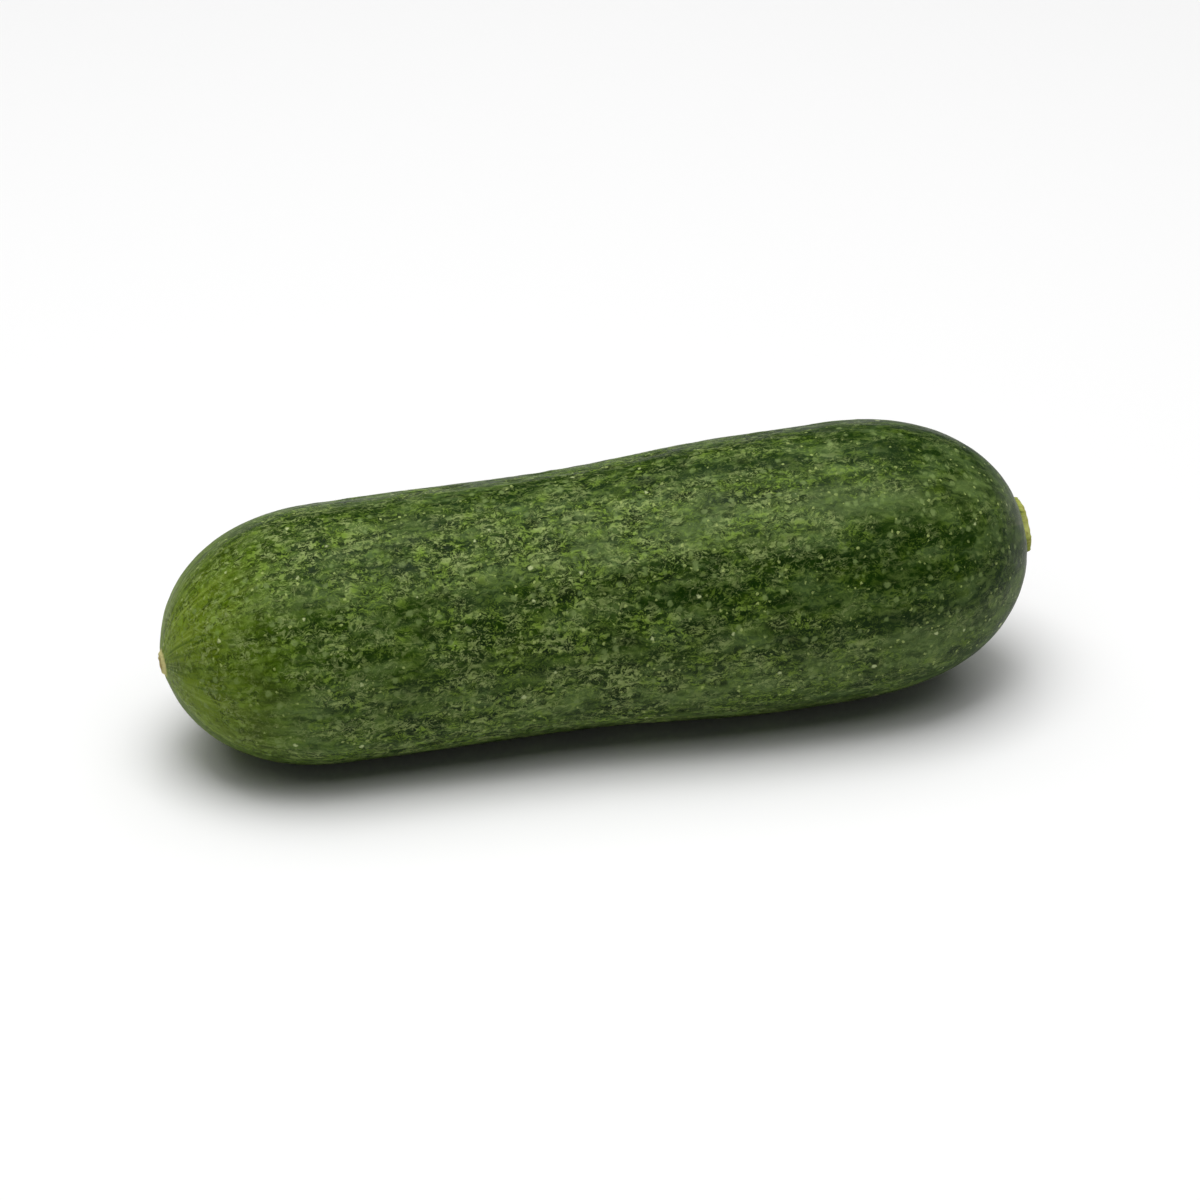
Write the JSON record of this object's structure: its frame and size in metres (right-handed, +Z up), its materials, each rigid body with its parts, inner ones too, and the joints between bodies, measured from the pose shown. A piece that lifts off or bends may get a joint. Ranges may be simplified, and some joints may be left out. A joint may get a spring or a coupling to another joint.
{
  "type": "mini cucumber",
  "caption": "Whole short cucumber with rounded ends, a corky stem scar and a small blossom button, lying on its side.",
  "frame": {"origin": "on the surface the cucumber lies on, under the middle of its bounding box", "axes": "+X runs along the cucumber from its blossom end to its stem end, +Z up; the blossom end bends slightly towards -Y and down, the stem end towards +Y and up"},
  "size_m": [0.1108, 0.0352, 0.0356],
  "materials": {
    "skin": "satin"
  },
  "bodies": {
    "root": {"cucumber": "skin"}
  },
  "joints": []
}
